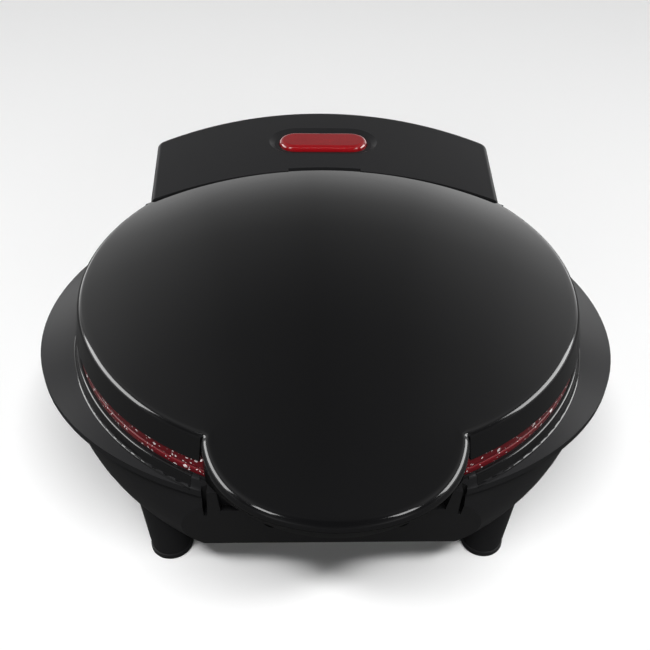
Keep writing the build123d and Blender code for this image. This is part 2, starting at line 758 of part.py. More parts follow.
def terminal_screws():
    low = cover_z + cover_t + terminal_h * 0.5
    length = terminal_h * 0.4
    one = rod(terminal_screw_r, 0, 0, 0, length)
    one -= Pos(0, 0, length) * Box(3 * terminal_screw_r, driver_slot_w, 2 * driver_slot_d)
    return [Pos(x, terminal_y, low) * one for x in terminal_xs()]


def cord_inlet_gland():
    """Bush through the rear wall: flange outside, snap ring inside."""
    inner_y = rear_flat_y - wall
    outer_y = rear_flat_y + gland_flange_t
    flange = rod_y(gland_flange_r, 0, rear_flat_y, outer_y, gland_z)
    flange = fillet(flange.edges().sort_by(Axis.Y)[-1], gland_flange_t * 0.4)
    body = flange + rod_y(gland_body_r, 0, rear_flat_y - gland_in, outer_y - gland_flange_t / 2, gland_z)
    body += rod_y(gland_body_r + gland_snap, 0, inner_y - gland_snap_t, inner_y, gland_z)
    return body - rod_y(gland_bore_r, 0, inner_y - far, outer_y + overcut, gland_z)


def hinge_pin():
    """Headed pin, pressed into the base's right ear, that carries the lid's arm."""
    inner = arm_inner_x - bush_flange_t - slack - pin_clip_t - pin_tip
    outer = ear_x + ear_w
    pin = chamfer(rod_x(pin_r, inner, outer, hinge_y, hinge_z).edges().sort_by(Axis.X)[0], pin_chamfer)
    head = rod_x(pin_head_r, outer, outer + pin_head_h, hinge_y, hinge_z)
    return pin + fillet(head.edges().sort_by(Axis.X)[-1], pin_head_h * 0.4)


def hinge_pin_clip():
    """Push-on washer at the pin's inner end."""
    outer = arm_inner_x - bush_flange_t - slack
    ring = rod_x(pin_head_r, outer - pin_clip_t, outer, hinge_y, hinge_z)
    return ring - rod_x(pin_r, outer - far, outer + overcut, hinge_y, hinge_z)


def hinge_bush():
    """Flanged bush in the lid's right arm."""
    radius = pin_r + running_gap + bush_wall
    body = rod_x(radius, arm_inner_x - bush_flange_t, arm_inner_x + arm_w, hinge_y, hinge_z)
    body += rod_x(bush_flange_r, arm_inner_x - bush_flange_t, arm_inner_x, hinge_y, hinge_z)
    return body - rod_x(pin_r + running_gap, 0, ear_x, hinge_y, hinge_z)


# ---------------------------------------------------------------- lid
def grip_outline(reach, front_x, front_back):
    """Outline of the handle at one level: a front arc, two side arcs and straight roots."""
    front_y = front_back - reach
    front = ThreePointArc((-front_x, front_y), (0, -reach), (front_x, front_y))
    right = TangentArc((front_x, front_y), (handle_half, -handle_side_y), tangent=front % 1)
    left = mirror(right, Plane.YZ)
    root = Polyline(
        (handle_half, -handle_side_y), (handle_half, -handle_root_y), (-handle_half, -handle_root_y),
        (-handle_half, -handle_side_y),
    )
    return make_face([front, right, root, left])


def seam_disc(offset):
    """Everything in front of the arc where the glossy cover ends."""
    return rod(seam_r + offset, 0, seam_y - seam_r, 0, far)


def handle_top(drop):
    """Everything below the dome and the handle's top surface; drop gives a parallel surface below it."""
    mid = handle_flow_r / 2
    dome = ThreePointArc((0, dome_z(0)), (mid, dome_z(mid)), (handle_flow_r, dome_z(handle_flow_r)))
    flow = TangentArc(dome @ 1, (handle_reach, handle_edge_z), tangent=dome % 1)
    end = flow @ 1 + 3 * (flow % 1)
    rest = Polyline(flow @ 1, end, (end.X, 0), (0, 0), (0, dome_z(0)))
    return Pos(0, 0, -drop) * revolve(Plane.XZ * make_face([dome, flow, rest]), Axis.Z)


def lid_shell():
    """Dome with a rounded rim and a side wall."""
    mid = lid_rim_r / 2
    arc = ThreePointArc((0, dome_z(0)), (mid, dome_z(mid)), (lid_rim_r, lid_rim_z))
    rest = Polyline((lid_rim_r, lid_rim_z), (lid_skirt_r, skirt_z), (0, skirt_z), (0, dome_z(0)))
    face = make_face([arc, rest])
    face = fillet(face.vertices().sort_by_distance((lid_rim_r, lid_rim_z))[0], lid_edge_round)
    in_r = lid_rim_r - wall
    in_z = dome_z(in_r) - wall
    in_arc = ThreePointArc((0, dome_z(0) - wall), (mid, dome_z(mid) - wall), (in_r, in_z))
    in_rest = Polyline((in_r, in_z), (lid_skirt_r - wall, skirt_z), (0, skirt_z), (0, dome_z(0) - wall))
    solid = revolve(Plane.XZ * face, Axis.Z)
    return solid - revolve(Plane.XZ * make_face([in_arc, in_rest]), Axis.Z)


def grip_bosses(radius, z0, z1):
    """Pair of upright cylinders at the handle's screws."""
    right = rod(radius, grip_screw_x, -grip_screw_y, z0, z1)
    return right + mirror(right, Plane.YZ)


def is_handle_edge(edge):
    """True for the edges between the handle's top face and its front and sides."""
    middle = edge.center()
    return middle.Z > handle_edge_z - handle_lip / 2 and middle.Y < -handle_root_y - overcut


def lid_tongue():
    """Upper half of the handle, hollow from below."""
    outline = grip_outline(handle_reach, handle_front_x, handle_front_back)
    block = extrude(Pos(0, 0, handle_seam_z) * outline, far / 4) & handle_top(0)
    block = fillet(block.edges().filter_by(is_handle_edge), handle_edge_round)
    hollow = extrude(Pos(0, 0, handle_seam_z - overcut) * offset(outline, -wall), far / 4) & handle_top(wall)
    hollow -= rod(lid_skirt_r - wall / 2, 0, 0, 0, far)
    return block - hollow


def rear_tongue():
    """Strip under the block's front edge, which holds the cover down."""
    lip = (seam_disc(tongue_w) - seam_disc(-tongue_root)) & block_below(-wall - fit_gap)
    root = (seam_disc(-fit_gap) - seam_disc(-tongue_root)) & handle_top(wall / 2)
    strip = lip + root - block_below(-wall - fit_gap - tongue_t)
    return strip & slab(-tongue_half, tongue_half, 0, far, 0, far)


def block_below(offset_z):
    """Everything below the block's crowned top, moved by offset_z."""
    half = 1.1 * block_half
    drop = block_crown * (half / block_half) ** 2
    arc = ThreePointArc((-half, block_top_z - drop), (0, block_top_z), (half, block_top_z - drop))
    rest = Polyline((half, block_top_z - drop), (half, 0), (-half, 0), (-half, block_top_z - drop))
    body = extrude(Plane.XZ * make_face([arc, rest]), far, both=True)
    return Pos(0, 0, offset_z) * body


def lid_top_cover():
    shell = lid_shell()
    front = shell & seam_disc(0)
    tail = (shell - seam_disc(0)) & slab(-far, far, 0, far, 0, tail_z)
    tail -= slab(-frame_rear_half - tail_gap, frame_rear_half + tail_gap, 0, far, 0, far)
    cover = front + tail + lid_tongue() + rear_tongue()
    inside = handle_top(wall / 2)
    cover += grip_bosses(peg_boss_r, frame_top, handle_edge_z - wall / 2) & inside
    for x, y in around(frame_screw_r, four(peg_angle)):
        boss = rod(peg_boss_r, x, y, frame_top, far) & inside
        cover += boss - rod(peg_r + fit_gap, x, y, 0, frame_top + peg_h + slack)
    cover -= grip_bosses(screw_r, frame_top - overcut, frame_top + grip_screw_grip)
    half = tab_half + slack
    return cover - (slab(-half, half, -tab_reach, 0, 0, frame_top + slack) - rod(frame_out_r, 0, 0, 0, far))


def block_outline(inset):
    """Plan outline of the rear block."""
    half, front = block_half - inset, block_front_half - inset
    rear_y, rear_r = block_reach - inset, block_back_r - inset
    corner_y = rear_y - rear_r + sqrt(rear_r ** 2 - half ** 2)
    arc = ThreePointArc((-half, corner_y), (0, rear_y), (half, corner_y))
    rest = Polyline((half, corner_y), (front, block_front_y), (-front, block_front_y), (-half, corner_y))
    face = make_face([arc, rest])
    return fillet(face.vertices().group_by(Axis.Y)[-1], block_corner - inset / 2)


def pill(length, width, z0, z1):
    """Upright solid with a slot-shaped plan at the indicator."""
    return Pos(0, lens_y, z0) * extrude(SlotOverall(length, width), z1 - z0)


def is_block_edge(edge):
    """True for the edges between the block's top face and its sides and back."""
    middle = edge.center()
    return middle.Z > block_top_z - block_crown - overcut and middle.Y > block_front_y + overcut


def rear_block_cover():
    body = extrude(Pos(0, 0, block_low_z) * block_outline(0), far / 4) & block_below(0)
    body = fillet(body.edges().filter_by(is_block_edge), block_edge_round)
    body -= extrude(Pos(0, 0, block_low_z - overcut) * block_outline(wall), far / 4) & block_below(-wall)
    body -= seam_disc(fit_gap)
    body -= rod(lid_skirt_r + fit_gap, 0, 0, 0, tail_z + tail_clear)
    vent = slab(-vent_slot_half, vent_slot_half, 0, far, block_top_z - vent_slot_d, far)
    body -= seam_disc(fit_gap + vent_slot_w) & vent
    body += pill(2 * dish_half, dish_w, lens_seat_z, block_top_z - wall) & block_below(-wall / 2)
    body -= dish()
    body -= pill(2 * lens_half + slack, lens_w + slack, 0, far)
    body -= pill(2 * (lens_half + lens_flange) + slack, lens_w + 2 * lens_flange + slack, 0, lens_seat_z)
    inner = block_below(-wall / 2)
    for x, y in block_spots():
        boss = rod(block_boss_r, x, y, block_low_z + frame_t, far) & inner
        body += boss - rod(screw_r, x, y, 0, block_low_z + frame_t + boss_hole_d)
    return body


def dish():
    """Shallow dish with sloping sides round the indicator."""
    low = SlotOverall(2 * (dish_half - dish_slope), dish_w - 2 * dish_slope)
    high = SlotOverall(2 * (dish_half + dish_slope), dish_w + 2 * dish_slope)
    low_z, high_z = block_top_z - dish_d, block_top_z + dish_d
    return loft([Pos(0, lens_y, low_z) * low, Pos(0, lens_y, high_z) * high], ruled=True)


def block_spots():
    """Plan points of the block's screws."""
    side = (block_half - block_side_screw, block_reach - block_side_back)
    rear = (block_rear_screw_x, block_reach - block_rear_back)
    return [(s * x, y) for x, y in (side, rear) for s in (-1, 1)]


def indicator_lens():
    """Clear-tinted cap, hollow from below, held by its flange under the dish."""
    low_z = lens_seat_z - lens_flange_t
    top_z = block_top_z + lens_stand
    cap = pill(2 * lens_half, lens_w, low_z, top_z)
    cap = fillet(cap.faces().sort_by(Axis.Z)[-1].edges(), lens_round)
    cap += pill(2 * (lens_half + lens_flange), lens_w + 2 * lens_flange, low_z, lens_seat_z)
    return cap - pill(2 * (lens_half - lens_t), lens_w - 2 * lens_t, 0, top_z - lens_top_t)


def indicator_lamp():
    return fillet(rod_x(lamp_r, -lamp_l / 2, lamp_l / 2, lens_y, lamp_z).edges(), 0.4 * lamp_r)


def lamp_holder():
    """Bracket on the frame's floor with two cradles for the lamp."""
    floor, half_l, half_t = block_low_z + frame_t, lamp_l / 2, cradle_t / 2
    body = slab(-half_l, half_l, lens_y - holder_half, lens_y + holder_half, floor, floor + holder_t)
    for x in (cradle_in - half_l, half_l - cradle_in):
        front_y, rear_y = lens_y - cradle_half, lens_y + cradle_half
        body += slab(x - half_t, x + half_t, front_y, rear_y, floor, lamp_z + cradle_over)
    body -= rod_x(lamp_r + lamp_gap, -lamp_l, lamp_l, lens_y, lamp_z)
    return body - slab(-lamp_l, lamp_l, lens_y - cradle_mouth, lens_y + cradle_mouth, lamp_z, far)


def hinge_arm():
    """Arm under the frame's floor that turns on the right pin."""
    outer, back_y = arm_inner_x + arm_w, hinge_y + ear_r
    arm = rod_x(ear_r, arm_inner_x, outer, hinge_y, hinge_z)
    arm += slab(arm_inner_x, outer, hinge_y - ear_r, back_y, hinge_z, block_low_z)
    gusset = make_face(Polyline(
        (back_y, hinge_z), (back_y + arm_gusset, block_low_z), (hinge_y, block_low_z), close=True,
    ))
    arm += Pos(arm_inner_x, 0, 0) * extrude(Plane.YZ * gusset, arm_w)
    return arm - rod_x(pin_r + running_gap + bush_wall, 0, ear_x, hinge_y, hinge_z)


def lid_frame():
    """Inner frame of the lid: ring over the upper plate, rear floor, hinge arms and a tab in the handle."""
    in_wall = lid_skirt_r + slack
    ring = rod(frame_out_r, 0, 0, upper_seat, frame_top)
    rear = rod(in_wall + frame_t, 0, 0, upper_seat, frame_top)
    ring += rear & slab(-frame_rear_half, frame_rear_half, 0, far, 0, far)
    ring += slab(-tab_half, tab_half, -far, 0, upper_seat, frame_top) & rod(tab_reach, 0, 0, 0, far)
    ring -= rod(frame_in_r, 0, 0, 0, far)
    back = rod(in_wall + frame_t, 0, 0, block_low_z, upper_seat)
    back &= slab(-frame_rear_half, frame_rear_half, 0, far, 0, far)
    back += extrude(Pos(0, 0, block_low_z) * block_outline(wall + slack), frame_t)
    body = ring + (back - rod(in_wall, 0, 0, 0, far))
    body += hinge_arm() + mirror(hinge_arm(), Plane.YZ)
    for x, y in around(frame_screw_r, four(screw_angle)):
        body -= rod(screw_r + fit_gap, x, y, 0, far)
    for x, y in around(frame_screw_r, four(peg_angle)):
        body += rod(peg_r, x, y, frame_top - frame_t / 2, frame_top + peg_h)
    for x, y in block_spots():
        body -= rod(screw_r + fit_gap, x, y, 0, far)
    return body - grip_bosses(screw_r + fit_gap, 0, far)


def handle_lower_shell():
    """Lower half of the handle, open at the top, with two screw bosses under the frame's tab."""
    top_z = handle_seam_z - fit_gap
    upper = grip_outline(handle_reach, handle_front_x, handle_front_back)
    lower = grip_outline(handle_reach - grip_inset, grip_front_x, grip_front_back)
    shell = loft([Pos(0, 0, grip_low_z) * lower, Pos(0, 0, top_z) * upper], ruled=True)
    lower_in = Pos(0, 0, grip_low_z + wall) * offset(lower, -wall)
    upper_in = Pos(0, 0, top_z + overcut) * offset(upper, -wall)
    hollow = loft([lower_in, upper_in], ruled=True)
    back_r = lid_skirt_r + slack
    shell -= hollow - rod(back_r + wall, 0, 0, 0, far)
    shell -= rod(back_r, 0, 0, 0, far)
    half = tab_half + slack
    shell -= slab(-half, half, -tab_reach, 0, upper_seat, far) & rod(back_r + wall + overcut, 0, 0, 0, far)
    shell += grip_bosses(grip_boss_r, grip_low_z, upper_seat)
    shell -= grip_bosses(screw_r + fit_gap, 0, far)
    return shell - grip_bosses(screw_head_r + slack, 0, grip_low_z + grip_bore_d)


def handle_screws():
    seat = grip_low_z + grip_bore_d
    length = frame_top + grip_screw_grip - slack - seat
    one = Rot(180, 0, 0) * screw(screw_r, length, screw_head_r, screw_head_h)
    return [Pos(s * grip_screw_x, -grip_screw_y, seat) * one for s in (-1, 1)]


def block_cover_screws():
    one = Rot(180, 0, 0) * screw(screw_r, frame_t + boss_hole_d - slack, screw_head_r, screw_head_h)
    return [Pos(x, y, block_low_z) * one for x, y in block_spots()]


def upper_plate_screws():
    one = screw(screw_r, frame_t + upper_rim_h - plate_hole_rest - slack, screw_head_r, screw_head_h)
    return [Pos(x, y, frame_top) * one for x, y in around(frame_screw_r, four(screw_angle))]


def upper_heating_element():
    return element(upper_tube_r, upper_over + contact_gap + upper_tube_r)


def upper_element_clips():
    return [place * clip(upper_tube_r, upper_over, 1) for place in clip_places()]


def upper_clip_screws():
    one = screw(small_screw_r, clip_t + clip_hole_d - slack, small_head_r, small_head_h)
    return [Pos(x, y, upper_over + clip_t) * one for x, y in clip_screw_spots()]


def upper_heat_shield():
    """Flat disc above the element, with a hole for the thermostat."""
    z0, z1 = upper_shield_z, upper_shield_z + shield_t
    disc = rod(upper_shield_r, 0, 0, z0, z1)
    disc -= rod(stat_r + stat_hole_gap, stat_x, 0, z0 - overcut, z1 + overcut)
    for x, y in post_spots():
        disc -= rod(small_screw_r + fit_gap, x, y, z0 - overcut, z1 + overcut)
    return disc


def upper_shield_screws():
    one = screw(small_screw_r, shield_t + post_hole_d - slack, small_head_r, small_head_h)
    return [Pos(x, y, upper_shield_z + shield_t) * one for x, y in post_spots()]


# ---------------------------------------------------------------- all pieces
pieces = {
    "base_housing": base_housing(),
    "base_bottom_cover": base_bottom_cover(),
    "bottom_cover_screws": bottom_cover_screws(),
    "lower_cooking_plate": lower_cooking_plate(),
    "lower_plate_screws": lower_plate_screws(),
    "lower_heating_element": lower_heating_element(),
    "lower_element_clips": lower_element_clips(),
    "lower_clip_screws": lower_clip_screws(),
    "lower_heat_shield": lower_heat_shield(),
    "lower_shield_screws": lower_shield_screws(),
    "lower_thermostat": thermostat(lower_under, -1),
    "thermal_fuse": thermal_fuse(),
    "fuse_clip": fuse_clip(),
    "terminal_block": terminal_block(),
    "terminal_screws": terminal_screws(),
    "cord_inlet_gland": cord_inlet_gland(),
    "hinge_pin_right": hinge_pin(),
    "hinge_pin_left": mirror(hinge_pin(), Plane.YZ),
    "hinge_pin_clips": [hinge_pin_clip(), mirror(hinge_pin_clip(), Plane.YZ)],
    "lid_top_cover": lid_top_cover(),
    "lid_frame": lid_frame(),
    "rear_block_cover": rear_block_cover(),
    "handle_lower_shell": handle_lower_shell(),
    "hinge_bush_right": hinge_bush(),
    "hinge_bush_left": mirror(hinge_bush(), Plane.YZ),
    "upper_cooking_plate": upper_cooking_plate(),
    "upper_plate_screws": upper_plate_screws(),
    "handle_screws": handle_screws(),
    "block_cover_screws": block_cover_screws(),
    "upper_heating_element": upper_heating_element(),
    "upper_element_clips": upper_element_clips(),
    "upper_clip_screws": upper_clip_screws(),
    "upper_heat_shield": upper_heat_shield(),
    "upper_shield_screws": upper_shield_screws(),
    "upper_thermostat": thermostat(upper_over, 1),
    "indicator_lens": indicator_lens(),
    "indicator_lamp": indicator_lamp(),
    "lamp_holder": lamp_holder(),
}
for name, (x, y) in legs.items():
    pieces[f"foot_pad_{name}"] = foot_pad(x, y)

os.makedirs("parts", exist_ok=True)
for name, shape in pieces.items():
    group = Compound(shape) if isinstance(shape, list) else shape
    export_step(Pos(0, frame_shift, 0) * group, f"parts/{name}.step")
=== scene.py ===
import bpy
import bmesh
import json
from math import atan2, cos, degrees, hypot, radians, sin, sqrt, tan
from mathutils import Matrix, Vector


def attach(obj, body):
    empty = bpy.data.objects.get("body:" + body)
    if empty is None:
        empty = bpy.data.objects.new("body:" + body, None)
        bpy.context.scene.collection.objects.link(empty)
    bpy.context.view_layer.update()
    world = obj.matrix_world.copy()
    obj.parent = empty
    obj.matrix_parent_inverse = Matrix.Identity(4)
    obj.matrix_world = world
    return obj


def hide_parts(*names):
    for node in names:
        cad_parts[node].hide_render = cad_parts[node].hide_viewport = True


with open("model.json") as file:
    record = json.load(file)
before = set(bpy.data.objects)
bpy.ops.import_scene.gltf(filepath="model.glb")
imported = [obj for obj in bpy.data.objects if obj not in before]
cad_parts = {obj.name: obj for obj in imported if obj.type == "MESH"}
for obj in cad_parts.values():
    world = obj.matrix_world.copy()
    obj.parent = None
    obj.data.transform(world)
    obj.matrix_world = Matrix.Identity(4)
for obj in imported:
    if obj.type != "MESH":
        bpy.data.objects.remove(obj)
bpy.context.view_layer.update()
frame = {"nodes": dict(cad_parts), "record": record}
nodes = frame["nodes"]
mm = 0.001
platesY = -10.25  # the plates' axis in the frame, in mm
print("frame loaded,", len(nodes), "nodes")

# the camera: its target in mm, its distance in mm, its angles in degrees
view = {
    "target": (-1.062, -10.25, 71.505),
    "distance": 345.26,
    "azimuth": -2.08,
    "elevation": 38.58,
    "roll": 1.27,
    "lens": 47.08,
    "sensor": 36,
    "nearest": 0.01,  # clipping, in metres
}


def makeCamera():
    azimuth, elevation, roll = (radians(view[key]) for key in ("azimuth", "elevation", "roll"))
    back = Vector((sin(azimuth) * cos(elevation), -cos(azimuth) * cos(elevation), sin(elevation)))
    right = Vector((cos(azimuth), sin(azimuth), 0))
    up = back.cross(right)
    tiltedRight = right * cos(roll) + up * sin(roll)
    tiltedUp = up * cos(roll) - right * sin(roll)
    turn = Matrix((tiltedRight, tiltedUp, back)).transposed().to_4x4()
    place = (Vector(view["target"]) + back * view["distance"]) * mm
    camera = bpy.data.objects.new("camera", bpy.data.cameras.new("camera"))
    camera.data.lens = view["lens"]
    camera.data.sensor_width = view["sensor"]
    camera.data.clip_start = view["nearest"]
    camera.matrix_world = Matrix.Translation(place) @ turn
    bpy.context.scene.collection.objects.link(camera)
    bpy.context.scene.camera = camera


def linear(hexColour):
    # sRGB hex to linear values and full opacity
    channels = [int(hexColour[i:i + 2], 16) / 255 for i in (1, 3, 5)]
    return [c / 12.92 if c <= 0.04045 else ((c + 0.055) / 1.055) ** 2.4 for c in channels] + [1]


def addNode(tree, kind, settings=None, links=None, **attributes):
    # settings fill input sockets, links join them to other nodes' outputs
    node = tree.nodes.new(kind)
    for name, value in attributes.items():
        setattr(node, name, value)
    for socket, value in (settings or {}).items():
        node.inputs[socket].default_value = value
    for socket, output in (links or {}).items():
        tree.links.new(output, node.inputs[socket])
    return node


makeCamera()

light = {
    "floor": "#f7f7f7",
    "floorPaintedShadeForReflections": "#4a4a4a",  # painted shade: the floor's grey as reflection and bounce rays see it, darker than the lit paper the camera sees, to darken the object's reflections of the floor
    # key and fill lights that throw the shadows, then the softboxes that the gloss mirrors, all in pairs
    "keys": {"place": (0.62, -1.42, 2.87), "size": (1.3, 0.3), "watts": 62, "seen": "diffuse"},
    "fills": {"place": (0.9, -2.6, 1.1), "size": (0.9, 0.6), "watts": 9, "seen": "diffuse"},
    "sides": {"place": (2.1, 0.3, 0.95), "size": (1.7, 0.9), "watts": 34, "seen": "glossy"},
    "corners": {"place": (1.1, -0.95, 1.5), "size": (0.5, 0.5), "watts": 6, "seen": "glossy"},
    # radiance of the surrounding tent against the sine of the elevation
    "tent": ((0.0, "#f8f8f8"), (0.15, "#cccccc"), (0.235, "#ababab"), (0.31, "#909090"), (0.44, "#797979"),
             (0.77, "#5d5d5d"), (1.0, "#545454")),
    # how bright it is from the middle, 0, to straight left or right, 1, as a share of sideGain
    "across": ((0.0, 0.22), (0.2, 0.30), (0.4, 0.54), (0.56, 0.86), (0.64, 0.9), (0.78, 0.3), (1.0, 0.2)),
    "sideGain": 4.5,
    # how bright it is from the front, 0, over straight to the side, 0.5, to the back, 1
    "frontDim": ((0.0, 0.12), (0.3, 0.2), (0.5, 1.0)),
    "aim": (0, 0, 0.06),  # every lamp points here, in metres
    "floorHalf": 6,
}


def makeAreaLight(name, setup, side):
    lamp = bpy.data.lights.new(name, "AREA")
    lamp.shape = "RECTANGLE"
    lamp.size, lamp.size_y = setup["size"]
    lamp.energy = setup["watts"]
    holder = bpy.data.objects.new(name, lamp)
    x, y, z = setup["place"]
    holder.location = (side * x, y, z)
    holder.visible_glossy = setup["seen"] == "glossy"
    holder.visible_diffuse = setup["seen"] == "diffuse"
    holder.rotation_euler = (holder.location - Vector(light["aim"])).to_track_quat("Z", "Y").to_euler()
    bpy.context.scene.collection.objects.link(holder)


def setRamp(ramp, stops):
    while len(ramp.color_ramp.elements) < len(stops):
        ramp.color_ramp.elements.new(1.0)
    for element, (at, colour) in zip(ramp.color_ramp.elements, stops):
        element.position = at
        element.color = colour


def makeWorld():
    world = bpy.data.worlds.new("studio")
    bpy.context.scene.world = world
    world.cycles_visibility.diffuse = False
    world.use_nodes = True
    tree = world.node_tree
    tree.nodes.clear()
    place = addNode(tree, "ShaderNodeTexCoord")
    split = addNode(tree, "ShaderNodeSeparateXYZ", links={"Vector": place.outputs["Generated"]})
    height = addNode(tree, "ShaderNodeValToRGB", links={"Fac": split.outputs["Z"]})
    setRamp(height, [(at, linear(colour)) for at, colour in light["tent"]])
    aside = addNode(tree, "ShaderNodeMath", {}, {0: split.outputs["X"]}, operation="ABSOLUTE")
    across = addNode(tree, "ShaderNodeValToRGB", links={"Fac": aside.outputs["Value"]})
    setRamp(across, [(at, (share, share, share, 1)) for at, share in light["across"]])
    gain = addNode(tree, "ShaderNodeMath", {1: light["sideGain"]}, {0: across.outputs["Color"]},
                   operation="MULTIPLY")
    ahead = addNode(tree, "ShaderNodeMath", {1: 0.5, 2: 0.5}, {0: split.outputs["Y"]},
                    operation="MULTIPLY_ADD")
    front = addNode(tree, "ShaderNodeValToRGB", links={"Fac": ahead.outputs["Value"]})
    setRamp(front, [(at, (share, share, share, 1)) for at, share in light["frontDim"]])
    strength = addNode(tree, "ShaderNodeMath", {}, {0: gain.outputs["Value"], 1: front.outputs["Color"]},
                       operation="MULTIPLY")
    glow = addNode(tree, "ShaderNodeBackground", {},
                   {"Color": height.outputs["Color"], "Strength": strength.outputs["Value"]})
    addNode(tree, "ShaderNodeOutputWorld", links={"Surface": glow.outputs["Background"]})


def makeFloor():
    far = light["floorHalf"]
    mesh = bpy.data.meshes.new("floor")
    mesh.from_pydata([(-far, -far, 0), (far, -far, 0), (far, far, 0), (-far, far, 0)], [], [(0, 1, 2, 3)])
    floor = bpy.data.objects.new("floor", mesh)
    bpy.context.scene.collection.objects.link(floor)
    paper = bpy.data.materials.new("backdropPaper")
    paper.use_nodes = True
    tree = paper.node_tree
    shader = tree.nodes["Principled BSDF"]
    shader.inputs["Roughness"].default_value = 0.9
    # the camera sees the light paper, every other ray sees the dark grey: painted shade in the object's
    # reflections of the floor and in the light bounced off it
    rays = addNode(tree, "ShaderNodeLightPath")
    tone = addNode(tree, "ShaderNodeMix", {}, {"Factor": rays.outputs["Is Camera Ray"]},
                   data_type="RGBA")
    tone.inputs["A"].default_value = linear(light["floorPaintedShadeForReflections"])
    tone.inputs["B"].default_value = linear(light["floor"])
    tree.links.new(tone.outputs["Result"], shader.inputs["Base Color"])
    mesh.materials.append(paper)


makeWorld()
makeFloor()
for name in ("keys", "fills", "sides", "corners"):
    makeAreaLight(name + "Left", light[name], -1)
    makeAreaLight(name + "Right", light[name], 1)
bpy.context.scene.view_settings.view_transform = "Standard"
print("camera, floor and light placed")


def startMaterial(name, settings):
    material = bpy.data.materials.new(name)
    material.use_nodes = True
    tree = material.node_tree
    shader = tree.nodes["Principled BSDF"]
    for socket, value in settings.items():
        shader.inputs[socket].default_value = value
    place = addNode(tree, "ShaderNodeTexCoord")
    return material, tree, shader, place.outputs["Object"]


def grain(size):
    # texture scale for a feature of that size in mm
    return 1 / (size * mm)


moulded = {
    "sheenPatch": 38,  # size in mm of the slow shifts in sheen and tone, as melt flow leaves them
    "lighter": 1.12,   # how much lighter the lighter patches are
}


def mouldedTexture(name, colour, roughness, texture, depth, spread=0.05, ior=1.54, specular=0.5):
    # moulded part: the mould's texture as bump, its grain and depth in mm, with slow shifts of sheen
    material, tree, shader, place = startMaterial(name, {"IOR": ior, "Specular IOR Level": specular})
    slow = addNode(tree, "ShaderNodeTexNoise", {"Scale": grain(moulded["sheenPatch"]), "Detail": 2.0},
                   {"Vector": place})
    tone = addNode(tree, "ShaderNodeMapRange", {"To Min": roughness - spread, "To Max": roughness + spread},
                   {"Value": slow.outputs["Fac"]})
    tree.links.new(tone.outputs["Result"], shader.inputs["Roughness"])
    tint = addNode(tree, "ShaderNodeMix", {}, {"Factor": slow.outputs["Fac"]}, data_type="RGBA")
    tint.inputs["A"].default_value = linear(colour)
    tint.inputs["B"].default_value = [min(1, c * moulded["lighter"]) for c in linear(colour)[:3]] + [1]
    tree.links.new(tint.outputs["Result"], shader.inputs["Base Color"])
    fine = addNode(tree, "ShaderNodeTexNoise", {"Scale": grain(texture), "Detail": 4.0, "Roughness": 0.6},
                   {"Vector": place})
    bump = addNode(tree, "ShaderNodeBump", {"Strength": 0.5, "Distance": depth * mm},
                   {"Height": fine.outputs["Fac"]})
    tree.links.new(bump.outputs["Normal"], shader.inputs["Normal"])
    return material


# ABS straight from a polished mould: near black, high gloss, a faint orange peel
glossAbs = mouldedTexture("polishedAbs", "#0c0c0d", 0.10, 7.0, 0.012, spread=0.02)
# ABS from a spark-eroded mould: dark grey with a broad soft sheen
satinAbs = mouldedTexture("sparkErodedAbs", "#202021", 0.34, 0.9, 0.01, specular=0.08)
# ABS of the handle's lower half: flatter, with its colour darkened to near black as painted shade under the
# cover's lip
shellAbsPaintedShade = mouldedTexture("mattAbsPaintedShade", "#070707", 0.45, 0.9, 0.02, specular=0.06)
# glass-filled PBT near the heat: blacker and duller
frameBlack = mouldedTexture("glassFilledPbt", "#17171a", 0.5, 0.7, 0.03)
# moulded rubber: black and dull, with no highlight to speak of
padRubber = mouldedTexture("mouldedRubber", "#161617", 0.72, 0.6, 0.05)
# moulded nylon, black: a soft wide highlight
glandNylon = mouldedTexture("blackNylon", "#141415", 0.45, 0.8, 0.02)
# moulded nylon without pigment: warm off-white, half matt
naturalNylon = mouldedTexture("naturalNylon", "#d9d6cb", 0.42, 0.8, 0.02, ior=1.53)
# moulded acetal without pigment: paler and slicker than the nylon
acetal = mouldedTexture("naturalAcetal", "#e4e0d4", 0.35, 0.8, 0.01, ior=1.48)
# pressed and fired steatite, unglazed: chalky beige
steatite = mouldedTexture("steatiteCeramic", "#d8cfbc", 0.5, 0.5, 0.03, ior=1.6)


def metal(name, colour, roughness, lineLength, lineWidth):
    # drawn, turned or rolled metal: fine lines along one direction, their length and width in mm; real ones
    # are finer and are drawn this coarse to show
    material, tree, shader, place = startMaterial(name, {"Metallic": 1.0})
    stretch = addNode(tree, "ShaderNodeMapping",
                      {"Scale": (grain(lineLength), grain(lineWidth), grain(lineWidth))}, {"Vector": place})
    lines = addNode(tree, "ShaderNodeTexNoise", {"Scale": 1.0, "Detail": 3.0},
                    {"Vector": stretch.outputs["Vector"]})
    sheen = addNode(tree, "ShaderNodeMapRange", {"To Min": roughness * 0.75, "To Max": roughness * 1.3},
                    {"Value": lines.outputs["Fac"]})
    tree.links.new(sheen.outputs["Result"], shader.inputs["Roughness"])
    tone = addNode(tree, "ShaderNodeMix", {}, {"Factor": lines.outputs["Fac"]}, data_type="RGBA")
    tone.inputs["A"].default_value = linear(colour)
    tone.inputs["B"].default_value = [c * 0.85 for c in linear(colour)[:3]] + [1]
    tree.links.new(tone.outputs["Result"], shader.inputs["Base Color"])
    bump = addNode(tree, "ShaderNodeBump", {"Strength": 0.25, "Distance": 0.01 * mm},
                   {"Height": lines.outputs["Fac"]})
    tree.links.new(bump.outputs["Normal"], shader.inputs["Normal"])
    return material


# drawn steel tube that has been red hot: brownish grey, half dull
temperedSteel = metal("heatTintedSteel", "#8f8373", 0.38, 8, 0.5)
